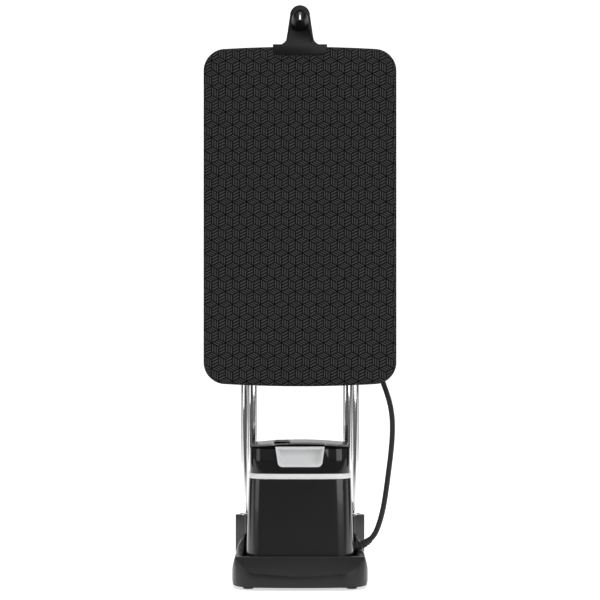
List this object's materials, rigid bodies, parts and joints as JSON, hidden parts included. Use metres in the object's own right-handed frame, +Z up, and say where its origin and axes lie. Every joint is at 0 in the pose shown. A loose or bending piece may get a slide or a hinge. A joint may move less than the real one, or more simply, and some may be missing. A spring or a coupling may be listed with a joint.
{
  "type": "upright garment steamer",
  "caption": "Upright garment steamer with a tilting vertical ironing board on a telescopic twin-pole stand, lift-off water tank and parked steam head.",
  "frame": {"origin": "centre of the base's footprint on the floor", "axes": "+Z up the stand, -Y out of the board's ironing face, +X to the right seen from in front"},
  "size_m": [0.402, 0.33, 1.1943],
  "materials": {
    "gloss_shell": "high-gloss black moulded housing",
    "satin_base": "satin black moulded base and sockets",
    "satin_black": "satin black moulded fittings",
    "white_trim": "white moulded trim",
    "silver_grip": "light grey moulded handle dish",
    "smoked": "smoked clear tank",
    "smoked_lid": "gloss black tank lid",
    "chrome_tube": "bright chromed tube",
    "steel": "zinc-plated steel",
    "sheet_metal": "black powder-coated steel",
    "sole": "polished soleplate",
    "rubber_black": "soft black rubber",
    "tyre_rubber": "hard rubber wheel",
    "cover_fabric": "black cover printed with a grey cube pattern",
    "foam": "open-cell foam",
    "pan_plastic": "ribbed black tray",
    "hose_textile": "dark grey braided hose sleeve",
    "board_green": "circuit board",
    "copper": "copper pipe",
    "head_white": "white steam head body"
  },
  "bodies": {
    "root": {"base_shell": "satin_base", "base_bottom_plate": "satin_black", "rubber_feet": "rubber_black", "base_screws": "steel", "wheel_axle": "steel", "pole_socket_left": "satin_base", "pole_socket_right": "satin_base", "rear_pole_left": "chrome_tube", "rear_pole_right": "chrome_tube", "lower_crosshead": "satin_black", "upper_crosshead": "satin_black", "lever_pin_left": "steel", "lever_pin_right": "steel", "iron_rest": "satin_black", "rest_pads": "rubber_black", "hose_hook": "satin_black", "housing_shell": "gloss_shell", "trim_ring": "white_trim", "tank_deck": "satin_black", "boiler": "steel", "heating_element": "steel", "pump": "satin_black", "solenoid_valve": "satin_black", "control_board": "board_green", "thermostat": "steel", "water_pipe": "copper", "steam_pipe": "copper", "button_bezel": "satin_black", "hose_gland": "satin_black", "cord_gland": "satin_black", "hose_lower": "hose_textile", "hose_coil": "hose_textile", "hose_upper": "hose_textile"},
    "upper_frame": {"front_pole_left": "chrome_tube", "front_pole_right": "chrome_tube", "tilt_bridge": "satin_black", "hinge_axle": "steel"},
    "board": {"board_pan": "pan_plastic", "board_foam": "foam", "board_cover": "cover_fabric", "board_bracket": "sheet_metal", "bracket_screws": "steel"},
    "hanger": {"hanger_hook": "satin_black"},
    "tilt_lever": {"tilt_lever": "satin_black"},
    "lock_pin": {"lock_pin": "steel"},
    "clamp_left": {"clamp_lever_left": "satin_black"},
    "clamp_right": {"clamp_lever_right": "satin_black"},
    "tank": {"tank_body": "smoked", "tank_lid": "smoked_lid", "tank_handle": "silver_grip", "tank_valve": "rubber_black"},
    "cap": {"filler_cap": "satin_black"},
    "power_button": {"power_button": "satin_black"},
    "steam_head": {"iron_soleplate": "sole", "iron_body": "head_white", "iron_handle": "satin_black", "iron_boot": "rubber_black"},
    "trigger": {"steam_trigger": "silver_grip"},
    "wheel_left": {"wheel_left": "tyre_rubber"},
    "wheel_right": {"wheel_right": "tyre_rubber"}
  },
  "joints": [
    {"name": "frame_lift", "type": "slide", "parent": "root", "child": "upper_frame", "axis": [0, 0, 1], "range_m": [0, 0.35]},
    {"name": "board_tilt", "type": "hinge", "parent": "upper_frame", "child": "board", "pos_m": [0, 0.045, 0.8], "axis": [1, 0, 0], "range_deg": [-90, 0]},
    {"name": "hanger_lift", "type": "slide", "parent": "board", "child": "hanger", "axis": [0, 0, 1], "range_m": [0, 0.05]},
    {"name": "tilt_release", "type": "hinge", "parent": "upper_frame", "child": "tilt_lever", "pos_m": [0.026, 0.036, 0.776], "axis": [0, -1, 0], "range_deg": [0, 25], "stiffness_Nm_per_rad": 0.4, "springref_deg": -5.73},
    {"name": "lock_pin_slide", "type": "slide", "parent": "upper_frame", "child": "lock_pin", "axis": [-1, 0, 0], "range_m": [0, 0.0105]},
    {"name": "clamp_left_turn", "type": "hinge", "parent": "root", "child": "clamp_left", "pos_m": [-0.1384, 0.078, 0.725], "axis": [0, 0, 1], "range_deg": [0, 90]},
    {"name": "clamp_right_turn", "type": "hinge", "parent": "root", "child": "clamp_right", "pos_m": [0.1384, 0.078, 0.725], "axis": [0, 0, -1], "range_deg": [0, 90]},
    {"name": "tank_lift", "type": "slide", "parent": "root", "child": "tank", "axis": [0, 0, 1], "range_m": [0, 0.1]},
    {"name": "cap_flap", "type": "hinge", "parent": "tank", "child": "cap", "pos_m": [-0.037, -0.0262, 0.2896], "axis": [-1, 0, 0], "range_deg": [0, 100]},
    {"name": "power_press", "type": "slide", "parent": "root", "child": "power_button", "axis": [-1, 0, 0], "range_m": [0, 0.002], "stiffness_N_per_m": 400, "springref_m": -0.0005},
    {"name": "head_lift_off", "type": "slide", "parent": "root", "child": "steam_head", "axis": [0, 1, 0], "range_m": [0, 0.08], "deforming": ["hose_upper"]},
    {"name": "trigger_squeeze", "type": "hinge", "parent": "steam_head", "child": "trigger", "pos_m": [-0.015, 0.1304, 0.552], "axis": [1, 0, 0], "range_deg": [0, 6], "stiffness_Nm_per_rad": 2, "springref_deg": -5.73},
    {"name": "wheel_left_spin", "type": "hinge", "parent": "root", "child": "wheel_left", "pos_m": [-0.098, 0.14, 0.02], "axis": [1, 0, 0], "continuous": true},
    {"name": "wheel_right_spin", "type": "hinge", "parent": "root", "child": "wheel_right", "pos_m": [0.098, 0.14, 0.02], "axis": [1, 0, 0], "continuous": true}
  ],
  "couplings": [
    {"joint": "lock_pin_slide", "follows": "tilt_release", "m_per_rad": 0.0238}
  ]
}
